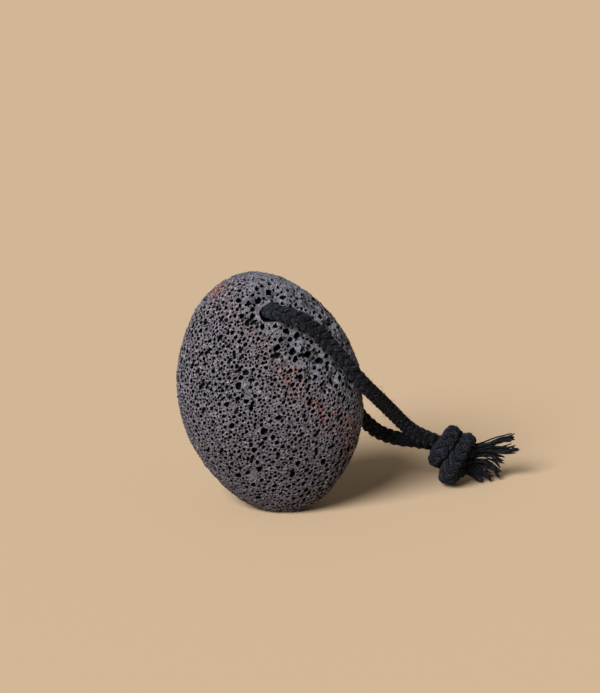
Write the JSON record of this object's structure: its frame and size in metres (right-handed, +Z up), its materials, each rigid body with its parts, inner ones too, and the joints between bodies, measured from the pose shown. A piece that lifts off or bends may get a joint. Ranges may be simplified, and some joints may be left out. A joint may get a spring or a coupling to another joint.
{
  "type": "pumice stone",
  "caption": "Oval pebble of dark porous lava pumice for smoothing skin, on a braided rope loop through its top, knotted and frayed at the end.",
  "frame": {"origin": "on the floor, under the middle of the stone's bounding box", "axes": "+Z up through the standing stone, +Y from its face to its back, +X to the right, towards the knot"},
  "size_m": [0.1322, 0.0572, 0.0922],
  "materials": {
    "lava_pumice": "rough, porous, unpolished",
    "black_cotton": "matt braided cotton"
  },
  "bodies": {
    "root": {"stone": "lava_pumice", "rope": "black_cotton", "knot": "black_cotton", "frayed_end_upper": "black_cotton", "frayed_end_lower": "black_cotton"}
  },
  "joints": []
}
